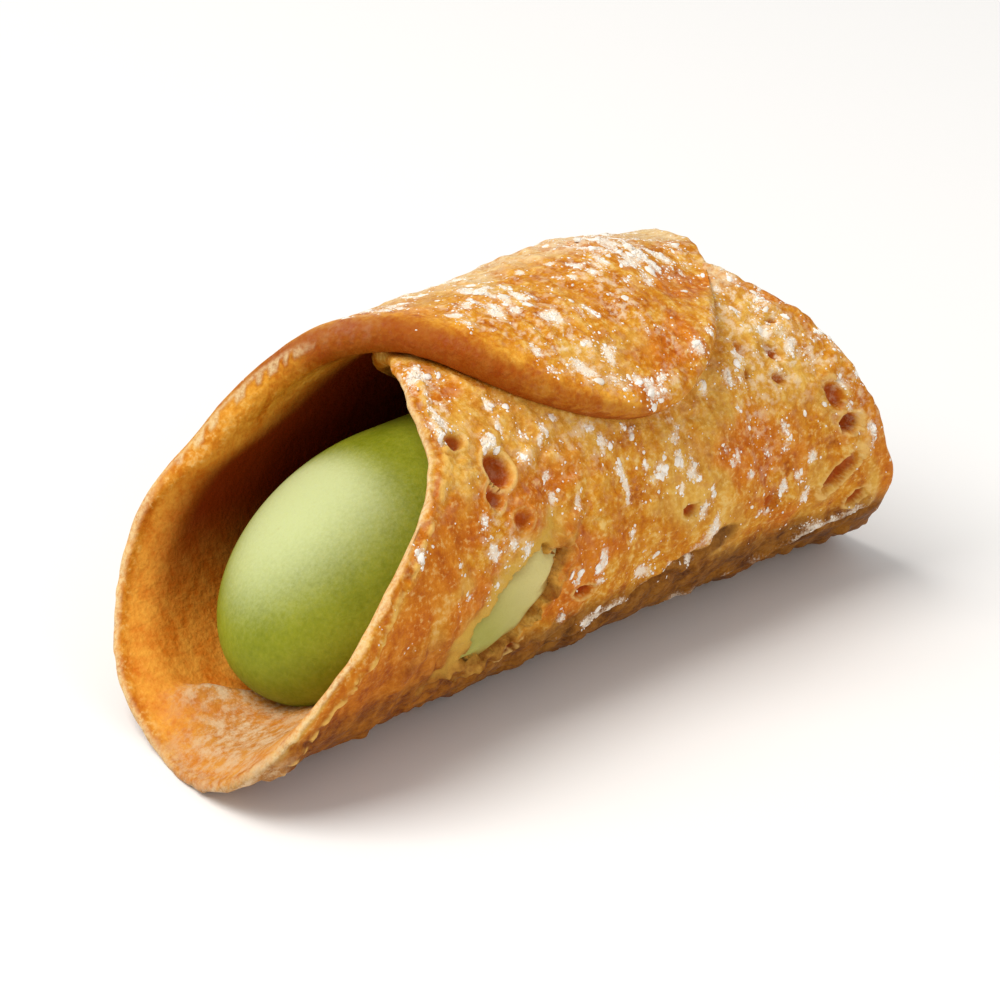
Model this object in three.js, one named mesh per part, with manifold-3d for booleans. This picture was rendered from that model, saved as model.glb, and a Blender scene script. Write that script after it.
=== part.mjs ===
// A cannolo: an oval of dough, wrapped once and a quarter round a tube and fried, so that it
// overlaps itself along the top, gapes at a slant at both ends, and holds a sweet pistachio cream.
// Millimetres, +Z up. The tube lies along X; the wider slanting mouth is at -X.

import * as THREE from "three";
import { mergeVertices } from "three/addons/utils/BufferGeometryUtils.js";
import Module from "manifold-3d";

// --- the pastry tube -------------------------------------------------------------------------
const TUBE_RADIUS = 14.4; // middle of the pastry wall
const WALL = 2.3; // pastry thickness of a single layer
const AXIS_HEIGHT = 15.25; // a little under the outer radius, so the tube has a flat to rest on

// The two long edges of the dough, at wrap angles counted in degrees from the top of the tube
// over the front and round underneath: [angle, X of the near edge, X of the far edge].
const EDGES = [
  [-75, -5, 19],
  [-8, -10.5, 24],
  [10, -13.2, 24.6],
  [45, -17.8, 29.4],
  [90, -30.4, 34.2],
  [125, -37.2, 37.2],
  [180, -37.2, 38],
  [240, -33.2, 36.5],
  [285, -26.3, 32.5],
  [325, -15.6, 28],
  [352, -10.8, 26],
  [380, -7.8, 21.5],
  [412, -4.5, 18],
];
const WRAP_START = -75; // the hidden end of the dough, rolled out thin under the overlap
const START_TAPER = 50; // degrees over which the hidden end thickens to a full layer
const WRAP_END = 412; // the rounded tongue of the overlap, on the front
const START_ROUND = 55; // degrees over which the hidden end closes
const END_ROUND = 42; // degrees over which the tongue closes

// --- the overlap -----------------------------------------------------------------------------
const OVERLAP_WALL = 3.7; // the puffed outer layer
const OVERLAP_SINK = 0.25; // how far the outer layer is fused into the inner one
const OVERLAP_THIN = 0.8; // share of its thickness lost along its far edge
const THIN_REACH = 13; // how far in from that edge the thinning starts
const THIN_FROM = [300, 345]; // wrap angles over which the far edge grows thin
const THIN_TO = [372, 400]; // wrap angles over which it grows thick again, towards the tongue

// --- flare of the two mouths: at the top, the front, underneath and at the back ----------------
const NEAR_FLARE = [0.6, 0.9, 0.0, -0.1];
const FAR_FLARE = [0.4, 1.5, 0.5, 0.6];
const NEAR_REACH = 9;
const FAR_REACH = 10;

// --- faceting --------------------------------------------------------------------------------
const ANGLE_STEP = 4.15; // mean number of degrees between sections
const TIP_CROWDING = 0.78; // how much closer the sections stand towards the tongue
const EDGE_ROWS = [0, 0.25, 0.95, 2.8, 6, 10.5]; // distances of the rows from an edge
const MIDDLE_ROWS = 3; // rows between the two sets of edge rows
const SEAM_ANGLE = 190; // where the two lengths of dough are joined underneath

// --- burst bubbles in the crust: [wrap angle, X, length, width, depth, turn] -------------------
// The turn is counted from +X towards growing wrap angle.
const BUBBLES = [
  [49.5, -10.3, 4.0, 2.9, 1.2, 80],
  [57.5, -11.8, 3.0, 2.0, 0.8, 80],
  [36, -13.3, 2.0, 1.6, 0.8, 0],
  [67, -9.5, 2.8, 2.2, 0.5, 20],
  [87, 9.8, 1.9, 1.5, 0.6, 0],
  [47, 23, 2.8, 1.4, 0.4, 60],
  [67.5, 28, 3.8, 2.4, 0.5, 70],
  [78, 29.2, 2.2, 1.6, 0.7, 0],
  [94.5, 28.2, 4.6, 2.1, 0.9, -41],
  [107.5, 31, 2.4, 1.7, 0.8, 0],
  [98, 20.3, 2.4, 1.6, 0.4, 30],
  [102.5, -2.6, 2.6, 1.5, 0.9, 20],
  [116, -10.2, 2.6, 1.3, 0.9, -30],
];
const BUBBLE_SIDES = 12;

// --- the torn patch on the lower front, where the cream shows through ---------------------------
const TEAR = { angle: 98, x: -11, length: 12.4, width: 5.4, turn: -39 };
const TEAR_SIDES = 22;
const TEAR_RAGGED = 0.16; // share of the outline that wanders in and out

// --- the cream -------------------------------------------------------------------------------
const CREAM_GAP = 0.3; // clearance between the cream and the wall
const BORE = TUBE_RADIUS - WALL / 2 - CREAM_GAP;
const NEAR_DOME = { high: 10.6, wide: 11.8, y: -0.5, z: 13, tip: -34.4, depth: 13, slant: 13 };
const FAR_DOME = { high: 11.2, wide: 11.8, y: 0, z: 13.8, tip: 31.5, depth: 9, slant: 9 };
const NECK = 5; // length a dome keeps its width behind its round end
const BLEND = 11; // length over which it then widens into the full bore
const CREAM_SIDES = 54;
const DOME_RINGS = 9;
const NECK_RINGS = 4;
const BLEND_RINGS = 6;
const CORE_RINGS = 6;
const TEAR_SWELL = 2.4; // how far the cream pushes up into the tear
const SWELL_SHARE = 0.42; // half its length and width, as a share of the tear's

const rad = THREE.MathUtils.degToRad;
const clamp = THREE.MathUtils.clamp;

// 0 below a, 1 above b, an even slope in and out between them.
function ease(a, b, x) {
  const t = clamp((x - a) / (b - a), 0, 1);
  return t * t * (3 - 2 * t);
}

// A smooth curve through one column of EDGES.
function edgeCurve(angle, column) {
  const last = EDGES.length - 1;
  const slope = (i) => (EDGES[i + 1][column] - EDGES[i][column]) / (EDGES[i + 1][0] - EDGES[i][0]);
  const tangent = (i) => {
    if (i === 0) return slope(0);
    if (i === last) return slope(last - 1);
    const before = EDGES[i][0] - EDGES[i - 1][0];
    const after = EDGES[i + 1][0] - EDGES[i][0];
    return (slope(i - 1) * after + slope(i) * before) / (before + after);
  };
  let i = 0;
  while (i < last - 1 && angle > EDGES[i + 1][0]) i += 1;
  const h = EDGES[i + 1][0] - EDGES[i][0];
  const s = (angle - EDGES[i][0]) / h;
  const p = EDGES[i][column];
  const q = EDGES[i + 1][column];
  return (
    (2 * s ** 3 - 3 * s ** 2 + 1) * p +
    (s ** 3 - 2 * s ** 2 + s) * h * tangent(i) +
    (-2 * s ** 3 + 3 * s ** 2) * q +
    (s ** 3 - s ** 2) * h * tangent(i + 1)
  );
}

// Near and far edge of the dough at a wrap angle, closing to a rounded end at both ends.
function edges(angle) {
  const a = clamp((angle - WRAP_START) / START_ROUND, 0, 1);
  const b = clamp((WRAP_END - angle) / END_ROUND, 0, 1);
  const open = (1 - (1 - a) ** 2.2) ** (1 / 1.7) * (1 - (1 - b) ** 2) ** (1 / 1.9);
  const near = edgeCurve(angle, 1);
  const far = edgeCurve(angle, 2);
  const middle = angle < 180 ? near * 0.45 + far * 0.55 : (near + far) / 2 + 1;
  return [middle + (near - middle) * open, middle + (far - middle) * open];
}

// Blends four values set at the top, front, bottom and back round the tube.
function around(angle, [top, front, bottom, back]) {
  const t = rad(angle);
  const mean = (top + front + bottom + back) / 4;
  const twist = ((top + bottom - front - back) / 4) * Math.cos(2 * t);
  return mean + ((top - bottom) / 2) * Math.cos(t) + ((front - back) / 2) * Math.sin(t) + twist;
}

// Thickness of a single layer, growing from almost nothing at the hidden end.
function singleWall(angle) {
  return WALL * (0.06 + 0.94 * ease(WRAP_START, WRAP_START + START_TAPER, angle));
}

// How far the pastry stands out where the tube opens towards its two mouths.
function flare(angle, x, near, far) {
  const nearReach = Math.exp(-((Math.max(x - near, 0) / NEAR_REACH) ** 1.5));
  const farReach = Math.exp(-((Math.max(far - x, 0) / FAR_REACH) ** 1.5));
  const nearOn = ease(-10, 40, angle) * (1 - ease(350, 395, angle));
  const farOn = ease(-60, -10, angle) * (1 - ease(300, 330, angle));
  return around(angle, NEAR_FLARE) * nearOn * nearReach + around(angle, FAR_FLARE) * farOn * farReach;
}

// Middle radius and thickness of the pastry: one layer, or the outer layer lying on the inner one.
// Both start from the bore, so the inside of the tube stays smooth.
function layer(angle, x, near, far) {
  const bore = TUBE_RADIUS - WALL / 2;
  const opened = flare(angle, x, near, far);
  const over = ease(285, 300, angle);
  if (angle < 258) {
    const wall = singleWall(angle);
    return { radius: bore + wall / 2 + opened, wall };
  }
  const thinReach = Math.min(THIN_REACH, 0.5 + (far - near) * 0.4);
  const thinSide = ease(...THIN_FROM, angle) * (1 - ease(...THIN_TO, angle));
  const thin = 1 - OVERLAP_THIN * thinSide * ease(thinReach, 0, Math.max(far - x, 0));
  const wall = (WALL + (OVERLAP_WALL - WALL) * ease(258, 338, angle)) * thin;
  const under = Math.max(angle - 360, WRAP_START);
  const [underNear, underFar] = edges(under);
  const step = singleWall(under) + flare(under, x, underNear, underFar) - OVERLAP_SINK;
  return { radius: bore + wall / 2 + opened + step * over, wall };
}

function place(angle, x, radius) {
  const t = rad(angle);
  const z = Math.max(AXIS_HEIGHT + radius * Math.cos(t), 0);
  return new THREE.Vector3(x, -radius * Math.sin(t), z);
}

// One closed section across the dough: along its outer skin from the far edge to the near one,
// and back along its inner skin.
function section(angle) {
  const [near, far] = edges(angle);
  const width = far - near;
  const scale = Math.min(1, (width * 0.42) / EDGE_ROWS[EDGE_ROWS.length - 1]);
  const inset = EDGE_ROWS.map((d) => d * scale);
  const first = near + inset[inset.length - 1];
  const last = far - inset[inset.length - 1];
  const xs = inset.map((d) => near + d);
  for (let i = 1; i <= MIDDLE_ROWS; i += 1) xs.push(first + ((last - first) * i) / (MIDDLE_ROWS + 1));
  inset.reverse().forEach((d) => xs.push(far - d));
  const toEnd = Math.min(angle - WRAP_START, WRAP_END - angle);
  const skin = (x, side) => {
    const { radius, wall } = layer(angle, x, near, far);
    const toEdge = Math.min(x - near, far - x, rad(toEnd) * TUBE_RADIUS);
    const depth = clamp(toEdge / (wall * 0.42), 0, 1);
    const half = (wall / 2) * Math.sqrt(1 - (1 - depth) ** 2);
    return place(angle, x, radius + side * half);
  };
  const outer = xs.map((x) => skin(x, 1)).reverse();
  const inner = xs.slice(1, -1).map((x) => skin(x, -1));
  return outer.concat(inner);
}

// The faces between a run of equal-length rings.
function ringFaces(rings) {
  const count = rings[0].length;
  const faces = [];
  for (let i = 0; i < rings.length - 1; i += 1) {
    for (let j = 0; j < count; j += 1) {
      const a = i * count + j;
      const b = i * count + ((j + 1) % count);
      faces.push(a, b, b + count, a, b + count, a + count);
    }
  }
  return faces;
}

// The flat face over a section of dough, zipped from its outer to its inner skin.
function sectionFace(count, offset, reversed) {
  const faces = [];
  const add = (a, b, c) => faces.push(offset + a, offset + (reversed ? c : b), offset + (reversed ? b : c));
  for (let j = 0; j < count / 2; j += 1) {
    const back = (count - j) % count;
    if (j > 0) add(j, j + 1, back);
    if (j < count / 2 - 1) add(j + 1, count - j - 1, back);
  }
  return faces;
}

function meshOf(rings, faces) {
  const geometry = new THREE.BufferGeometry().setFromPoints(rings.flat());
  geometry.setIndex(faces);
  return geometry;
}

// The length of dough between two wrap angles, closed where it is cut at the seam.
function doughLength(from, to) {
  const steps = Math.round((to - from) / ANGLE_STEP);
  const crowding = to === WRAP_END ? TIP_CROWDING : 0;
  const share = (t) => t * (1 - crowding) + crowding * Math.sin((t * Math.PI) / 2);
  const angles = Array.from({ length: steps + 1 }, (_, i) => from + (to - from) * share(i / steps));
  const rings = angles.map(section);
  const count = rings[0].length;
  const faces = ringFaces(rings);
  if (from === SEAM_ANGLE) faces.push(...sectionFace(count, 0, true));
  if (to === SEAM_ANGLE) faces.push(...sectionFace(count, (rings.length - 1) * count, false));
  return meshOf(rings, faces);
}

// A point on or above the outer skin, on a patch laid over the tube: along runs with the turn.
function onSkin({ angle, x, turn }, along, across, height) {
  const c = Math.cos(rad(turn));
  const s = Math.sin(rad(turn));
  const atX = x + along * c - across * s;
  const arc = along * s + across * c;
  const atAngle = angle + THREE.MathUtils.radToDeg(arc / (TUBE_RADIUS + WALL / 2));
  const [near, far] = edges(atAngle);
  const { radius, wall } = layer(atAngle, atX, near, far);
  return place(atAngle, atX, radius + wall / 2 + height);
}

// The rounded hollow left by one burst bubble: a bowl below the skin, closed just above it.
function bubbleCutter([angle, x, length, width, depth, turn]) {
  const spot = { angle, x, turn };
  const levels = [0.35, -0.35, -0.78, -1];
  const rings = levels.map((level, i) => {
    const spread = i === 0 ? 1.12 : Math.sqrt(1 - level ** 2);
    return Array.from({ length: BUBBLE_SIDES }, (_, j) => {
      const t = (j / BUBBLE_SIDES) * 2 * Math.PI;
      const along = (length / 2) * spread * Math.cos(t);
      const across = (width / 2) * spread * Math.sin(t);
      return onSkin(spot, along, across, level * depth);
    });
  });
  const top = onSkin(spot, 0, 0, depth * 0.35 + 0.05);
  rings.unshift(rings[0].map(() => top.clone()));
  return meshOf(rings, ringFaces(rings));
}

// The plug of pastry missing from the tear, wider at the skin than at the bore.
function tearCutter() {
  const levels = [0.6, -WALL * 0.5, -WALL - 0.8];
  const outline = (j) => {
    const t = (j / TEAR_SIDES) * 2 * Math.PI;
    const ragged = 1 + TEAR_RAGGED * Math.sin(3 * t + 0.6) * Math.cos(5 * t);
    return [(TEAR.length / 2) * ragged * Math.cos(t), (TEAR.width / 2) * ragged * Math.sin(t)];
  };
  const rings = levels.map((level, i) =>
    Array.from({ length: TEAR_SIDES }, (_, j) => {
      const [along, across] = outline(j);
      const spread = 1.12 - 0.04 * i;
      return onSkin(TEAR, along * spread, across * spread, level);
    })
  );
  const over = onSkin(TEAR, 0, 0, levels[0]);
  const under = onSkin(TEAR, 0, 0, levels[2]);
  rings.unshift(rings[0].map(() => over.clone()));
  rings.push(rings[1].map(() => under.clone()));
  return meshOf(rings, ringFaces(rings));
}

// --- the cream: a plug the width of the bore, narrowing to a smooth dome in each mouth ----------

// The sides are counted from the tear, so that a line of points runs along the middle of it.
function sideAngle(j) {
  return TEAR.angle + (j / CREAM_SIDES) * 360;
}

function creamRing({ high, wide, y, z }, xAt) {
  return Array.from({ length: CREAM_SIDES }, (_, j) => {
    const angle = sideAngle(j);
    const up = Math.cos(rad(angle));
    const forward = Math.sin(rad(angle));
    const height = z + high * up;
    return swollen(xAt(height), y - wide * forward, height);
  });
}

// The rings of one dome, from its tip to where it meets the full bore; side is -1 near, +1 far.
function domeRings(dome, side) {
  const floor = dome.z - dome.high;
  const lean = (height) => (-side * dome.slant * (height - floor)) / (2 * dome.high);
  const rings = [];
  for (let i = 0; i <= DOME_RINGS; i += 1) {
    const t = ((i / DOME_RINGS) * Math.PI) / 2;
    const ring = { ...dome, high: dome.high * Math.sin(t), wide: dome.wide * Math.sin(t) };
    const x = dome.tip - side * dome.depth * (1 - Math.cos(t));
    rings.push(creamRing(ring, (height) => x + lean(height)));
  }
  const waist = dome.tip - side * dome.depth;
  for (let i = 1; i <= NECK_RINGS; i += 1) {
    const x = waist - (side * NECK * i) / NECK_RINGS;
    rings.push(creamRing(dome, (height) => x + lean(height)));
  }
  for (let i = 1; i <= BLEND_RINGS; i += 1) {
    const s = i / BLEND_RINGS;
    const mix = (a, b) => THREE.MathUtils.lerp(a, b, ease(0, 1, s));
    const ring = {
      high: mix(dome.high, BORE),
      wide: mix(dome.wide, BORE),
      y: mix(dome.y, 0),
      z: mix(dome.z, AXIS_HEIGHT),
    };
    const x = waist - side * (NECK + BLEND * s);
    rings.push(creamRing(ring, (height) => x + lean(height) * (1 - 0.25 * s)));
  }
  return rings;
}

// A point of the cream, pushed out from the tube's line where it lies inside the tear, and clear
// of the tear's sides.
function swollen(x, y, z) {
  const t = Math.atan2(-y, z - AXIS_HEIGHT);
  const arc = (t - rad(TEAR.angle)) * (TUBE_RADIUS + WALL / 2);
  const c = Math.cos(rad(TEAR.turn));
  const s = Math.sin(rad(TEAR.turn));
  const along = ((x - TEAR.x) * c + arc * s) / (TEAR.length * SWELL_SHARE);
  const across = (arc * c - (x - TEAR.x) * s) / (TEAR.width * SWELL_SHARE);
  const push = TEAR_SWELL * Math.max(0, 1 - along ** 2 - across ** 2);
  return new THREE.Vector3(x, y - push * Math.sin(t), z + push * Math.cos(t));
}

function creamBody() {
  const near = domeRings(NEAR_DOME, -1);
  const far = domeRings(FAR_DOME, 1).reverse();
  const from = near[near.length - 1];
  const to = far[0];
  const core = [];
  for (let i = 1; i < CORE_RINGS; i += 1) {
    const ring = from.map((p, j) => {
      const angle = sideAngle(j);
      const x = p.x + ((to[j].x - p.x) * i) / CORE_RINGS;
      return swollen(x, -BORE * Math.sin(rad(angle)), AXIS_HEIGHT + BORE * Math.cos(rad(angle)));
    });
    core.push(ring);
  }
  const rings = [...near, ...core, ...far];
  return meshOf(rings, ringFaces(rings));
}

const wasm = await Module();
wasm.setup();

function toSolid(geometry) {
  const clean = geometry.clone();
  clean.deleteAttribute("normal");
  clean.deleteAttribute("uv");
  const merged = mergeVertices(clean, 1e-5);
  const index = merged.index.array;
  const triangles = [];
  for (let i = 0; i < index.length; i += 3) {
    const [a, b, c] = [index[i], index[i + 1], index[i + 2]];
    if (a !== b && b !== c && c !== a) triangles.push(a, b, c);
  }
  const vertProperties = Float32Array.from(merged.attributes.position.array);
  const mesh = new wasm.Mesh({ numProp: 3, vertProperties, triVerts: Uint32Array.from(triangles) });
  return new wasm.Manifold(mesh);
}

function toGeometry(solid) {
  const { vertProperties, triVerts } = solid.getMesh();
  const geometry = new THREE.BufferGeometry();
  geometry.setAttribute("position", new THREE.BufferAttribute(Float32Array.from(vertProperties), 3));
  geometry.setIndex(new THREE.BufferAttribute(Uint32Array.from(triVerts), 1));
  return geometry;
}

const dough = toSolid(doughLength(WRAP_START, SEAM_ANGLE)).add(toSolid(doughLength(SEAM_ANGLE, WRAP_END)));
const cutters = BUBBLES.map((bubble) => toSolid(bubbleCutter(bubble)));
cutters.push(toSolid(tearCutter()));
const crust = cutters.reduce((solid, cutter) => solid.subtract(cutter), dough);
const cream = toSolid(creamBody());

// The origin sits under the middle of the finished piece.
const shellGeometry = toGeometry(crust);
const creamGeometry = toGeometry(cream);
shellGeometry.computeBoundingBox();
const box = shellGeometry.boundingBox;
const shift = [-(box.min.x + box.max.x) / 2, -(box.min.y + box.max.y) / 2, -box.min.z];

function piece(name, geometry, color) {
  geometry.translate(...shift);
  const mesh = new THREE.Mesh(geometry, new THREE.MeshStandardMaterial({ color, roughness: 0.7 }));
  mesh.name = name;
  return mesh;
}

const cannolo = new THREE.Group();
cannolo.name = "cannolo";
cannolo.add(piece("shell", shellGeometry, 0xc98a3c));
cannolo.add(piece("cream", creamGeometry, 0xb7c06a));

export default cannolo;
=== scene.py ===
"""A pistachio cannolo: crust, cream and sugar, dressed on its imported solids. Metres, +Z up."""

import math

import bpy
import bmesh
import numpy as np
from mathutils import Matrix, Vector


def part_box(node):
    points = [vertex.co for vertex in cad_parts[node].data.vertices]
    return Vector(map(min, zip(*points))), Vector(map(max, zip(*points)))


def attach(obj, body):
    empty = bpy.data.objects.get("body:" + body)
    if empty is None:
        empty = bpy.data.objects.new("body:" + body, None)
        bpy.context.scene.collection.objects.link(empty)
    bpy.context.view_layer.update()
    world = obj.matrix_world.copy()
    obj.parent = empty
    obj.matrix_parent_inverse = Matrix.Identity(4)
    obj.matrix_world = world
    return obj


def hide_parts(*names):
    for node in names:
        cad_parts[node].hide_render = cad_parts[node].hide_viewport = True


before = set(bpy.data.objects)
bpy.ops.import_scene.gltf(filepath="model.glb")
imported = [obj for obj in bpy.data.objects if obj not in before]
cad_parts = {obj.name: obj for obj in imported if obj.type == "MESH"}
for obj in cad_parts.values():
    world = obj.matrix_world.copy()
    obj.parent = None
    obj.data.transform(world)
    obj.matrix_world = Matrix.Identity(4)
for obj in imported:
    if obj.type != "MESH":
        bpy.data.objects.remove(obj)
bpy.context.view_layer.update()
scene = bpy.context.scene
MM = 0.001


# --- the table and the light -------------------------------------------------------------------
# A matt white table under soft studio light: one broad lamp above and to the left, a weak one
# low on the right, and a bright pale room all round.

TABLE_WIDE = 3.0
MERGE = 2e-6  # points of a piece that are closer than this become one
CAMERA_AZIMUTH = -42.5
CAMERA_ELEVATION = 28.5
CAMERA_ROLL = 1.5
CAMERA_FAR = 0.45
VIEW_WIDE = 0.08995  # width of the picture at the cannolo
AIM = (0.0001, 0.0003, 0.016)
AIM_RIGHT = 0.00064
AIM_UP = -0.0018


def linear(red, green, blue):
    """The shader's colour for one given in 0 to 255 steps, as a paint chart gives it."""
    share = np.array([red, green, blue]) / 255
    bent = np.where(share <= 0.04045, share / 12.92, ((share + 0.055) / 1.055) ** 2.4)
    return (*bent.tolist(), 1.0)


def new_material(name):
    """An empty material with its principled shader."""
    material = bpy.data.materials.new(name)
    material.use_nodes = True
    return material, material.node_tree, material.node_tree.nodes["Principled BSDF"]


def mesh_piece(name, points, faces, material, marks=None):
    """A finished smooth piece from points and faces in metres, with its doubles merged.

    marks are kept for each point, one number or three, and its material reads them.
    """
    mesh = bpy.data.meshes.new(name)
    mesh.from_pydata(points, [], faces)
    for label, values in (marks or {}).items():
        numbers = np.asarray(values, np.float32)
        kind, field = ("FLOAT", "value") if numbers.ndim == 1 else ("FLOAT_VECTOR", "vector")
        mesh.attributes.new(label, kind, "POINT").data.foreach_set(field, numbers.ravel())
    shape = bmesh.new()
    shape.from_mesh(mesh)
    bmesh.ops.remove_doubles(shape, verts=shape.verts, dist=MERGE)
    bmesh.ops.delete(shape, geom=[v for v in shape.verts if not v.link_faces], context="VERTS")
    shape.to_mesh(mesh)
    shape.free()
    mesh.materials.append(material)
    mesh.shade_smooth()
    piece = bpy.data.objects.new(name, mesh)
    scene.collection.objects.link(piece)
    return piece


table_material, _, table_shader = new_material("white_table")
table_shader.inputs["Base Color"].default_value = (0.9, 0.895, 0.885, 1)
table_shader.inputs["Roughness"].default_value = 0.8
half = TABLE_WIDE / 2
table = mesh_piece(
    "table",
    [(-half, -half, 0), (half, -half, 0), (half, half, 0), (-half, half, 0)],
    [(0, 1, 2, 3)],
    table_material,
)

azimuth = math.radians(CAMERA_AZIMUTH)
elevation = math.radians(CAMERA_ELEVATION)
roll = math.radians(CAMERA_ROLL)
back = np.array(
    [
        math.sin(azimuth) * math.cos(elevation),
        -math.cos(azimuth) * math.cos(elevation),
        math.sin(elevation),
    ]
)
level = np.array([math.cos(azimuth), math.sin(azimuth), 0.0])
upright = np.cross(back, level)
right = level * math.cos(roll) + upright * math.sin(roll)
up = upright * math.cos(roll) - level * math.sin(roll)

camera_data = bpy.data.cameras.new("camera")
camera_data.lens = camera_data.sensor_width * CAMERA_FAR / VIEW_WIDE
camera = bpy.data.objects.new("camera", camera_data)
place = np.eye(4)
place[:3, 0], place[:3, 1], place[:3, 2] = right, up, back
place[:3, 3] = np.array(AIM) + right * AIM_RIGHT + up * AIM_UP + back * CAMERA_FAR
camera.matrix_world = place.T.tolist()
scene.collection.objects.link(camera)
scene.camera = camera


def soft_lamp(name, across, along, high, wide, power, colour):
    """A square lamp that faces the cannolo: across the view, along it towards the eye, and high."""
    data = bpy.data.lights.new(name, "AREA")
    data.size = wide
    data.energy = power
    data.color = colour
    lamp = bpy.data.objects.new(name, data)
    towards = np.array([-math.sin(azimuth), math.cos(azimuth), 0.0])
    spot = level * across - towards * along + np.array([0, 0, high])
    z = spot / np.linalg.norm(spot)
    x = np.cross([0, 0, 1.0], z)
    x /= np.linalg.norm(x)
    turn = np.eye(4)
    turn[:3, 0], turn[:3, 1], turn[:3, 2], turn[:3, 3] = x, np.cross(z, x), z, spot
    lamp.matrix_world = turn.T.tolist()
    scene.collection.objects.link(lamp)


KEY_TINT, FILL_TINT = (1.0, 0.98, 0.95), (1.0, 0.98, 0.96)
soft_lamp("key_lamp", across=-0.30, along=0.10, high=0.55, wide=0.42, power=3.6, colour=KEY_TINT)
soft_lamp("fill_lamp", across=0.45, along=0.40, high=0.25, wide=0.50, power=0.9, colour=FILL_TINT)

room = bpy.data.worlds.new("room")
room.use_nodes = True
room.node_tree.nodes["Background"].inputs["Color"].default_value = (1.0, 0.99, 0.98, 1)
room.node_tree.nodes["Background"].inputs["Strength"].default_value = 0.5
scene.world = room
scene.view_settings.view_transform = "Standard"


# --- the crust ---------------------------------------------------------------------------------
# An oval of thin wine dough, wrapped once and a quarter round a tube so that it overlaps along
# the top, then fried: it puffs, blisters and browns. Its tongue is pressed down on the front.
# Lengths here are in millimetres and turn into metres when the mesh is made.

TUBE_RADIUS = 14.4
WALL = 2.3
AXIS_HEIGHT = 15.25
BORE = TUBE_RADIUS - WALL / 2

# The two long edges of the dough: wrap angle in degrees from the top over the front, X near, X far.
DOUGH_EDGES = np.array(
    [
        (-75, -5, 19),
        (-8, -10.5, 24),
        (10, -13.2, 24.6),
        (45, -17.8, 29.4),
        (90, -30.4, 34.2),
        (125, -37.2, 37.2),
        (180, -37.2, 38),
        (240, -33.2, 36.5),
        (285, -26.3, 32.5),
        (325, -15.6, 28),
        (352, -10.8, 26),
        (380, -7.8, 21.5),
        (412, -4.5, 18),
    ],
    float,
)
WRAP_START, WRAP_END = -75.0, 412.0
START_ROUND, END_ROUND, START_TAPER = 55.0, 42.0, 50.0
RIM_THIN, RIM_THIN_REACH = 0.5, 4.5  # share of the wall that is lost inside towards a mouth
OVERLAP_WALL, OVERLAP_SINK, OVERLAP_THIN, THIN_REACH = 3.7, 0.25, 0.8, 13.0
PUFF_FROM = 258  # wrap angle from which the dough puffs up to the overlap's wall
NEAR_FLARE, FAR_FLARE = (0.6, 0.9, 0.0, -0.1), (0.4, 1.5, 0.5, 0.6)
NEAR_REACH, FAR_REACH = 9.0, 10.0


def ease(start, end, value):
    """0 before start, 1 after end, with a smooth slope in and out between them."""
    share = np.clip((value - start) / (end - start), 0, 1)
    return share * share * (3 - 2 * share)


def zone(start, full, fading, end, value):
    """0 before start, 1 from full to fading and 0 after end, with smooth slopes between them."""
    return ease(start, full, value) * (1 - ease(fading, end, value))


def hump(value, middle, wide):
    """A bell: 1 where the value is at the middle, and e to the minus 1 that wide away from it."""
    return np.exp(-(((value - middle) / wide) ** 2))


def edge_curve(angle, column):
    """A cubic through one edge's stations, each with the mean slope of the spans beside it."""
    at, value = DOUGH_EDGES[:, 0], DOUGH_EDGES[:, column]
    span = np.diff(at)
    slope = np.diff(value) / span
    middle = (slope[:-1] * span[1:] + slope[1:] * span[:-1]) / (span[:-1] + span[1:])
    tangent = np.concatenate([slope[:1], middle, slope[-1:]])
    i = np.clip(np.searchsorted(at, angle) - 1, 0, len(at) - 2)
    h = span[i]
    s = (angle - at[i]) / h
    rise = s * s * (3 - 2 * s)
    bow = (s**3 - 2 * s**2 + s) * tangent[i] + (s**3 - s**2) * tangent[i + 1]
    return value[i] * (1 - rise) + value[i + 1] * rise + bow * h


def edges(angle):
    """X of the near and far edge, drawn together into a rounded end at both ends of the wrap."""
    a = np.clip((angle - WRAP_START) / START_ROUND, 0, 1)
    b = np.clip((WRAP_END - angle) / END_ROUND, 0, 1)
    spread = (1 - (1 - a) ** 2.2) ** (1 / 1.7) * (1 - (1 - b) ** 2) ** (1 / 1.9)
    near, far = edge_curve(angle, 1), edge_curve(angle, 2)
    middle = np.where(angle < 180, near * 0.45 + far * 0.55, (near + far) / 2 + 1)
    return middle + (near - middle) * spread, middle + (far - middle) * spread


def around(angle, values):
    """Blends values set at the top, front, bottom and back by the cosine and sine of the angle."""
    top, front, bottom, rear = values
    t = np.radians(angle)
    twist = (top + bottom - front - rear) / 4 * np.cos(2 * t)
    mean = (top + front + bottom + rear) / 4
    return mean + (top - bottom) / 2 * np.cos(t) + (front - rear) / 2 * np.sin(t) + twist


def single_wall(angle):
    """Thickness of one layer, which grows from almost nothing at the hidden end."""
    return WALL * (0.06 + 0.94 * ease(WRAP_START, WRAP_START + START_TAPER, angle))


def flare(angle, x, near, far):
    """How far the dough stands out near its two mouths, fading with distance from each edge."""
    near_reach = np.exp(-((np.maximum(x - near, 0) / NEAR_REACH) ** 1.5))
    far_reach = np.exp(-((np.maximum(far - x, 0) / FAR_REACH) ** 1.5))
    near_part = around(angle, NEAR_FLARE) * zone(-10, 40, 350, 395, angle) * near_reach
    far_part = around(angle, FAR_FLARE) * zone(-60, -10, 300, 330, angle) * far_reach
    return near_part + far_part


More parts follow.
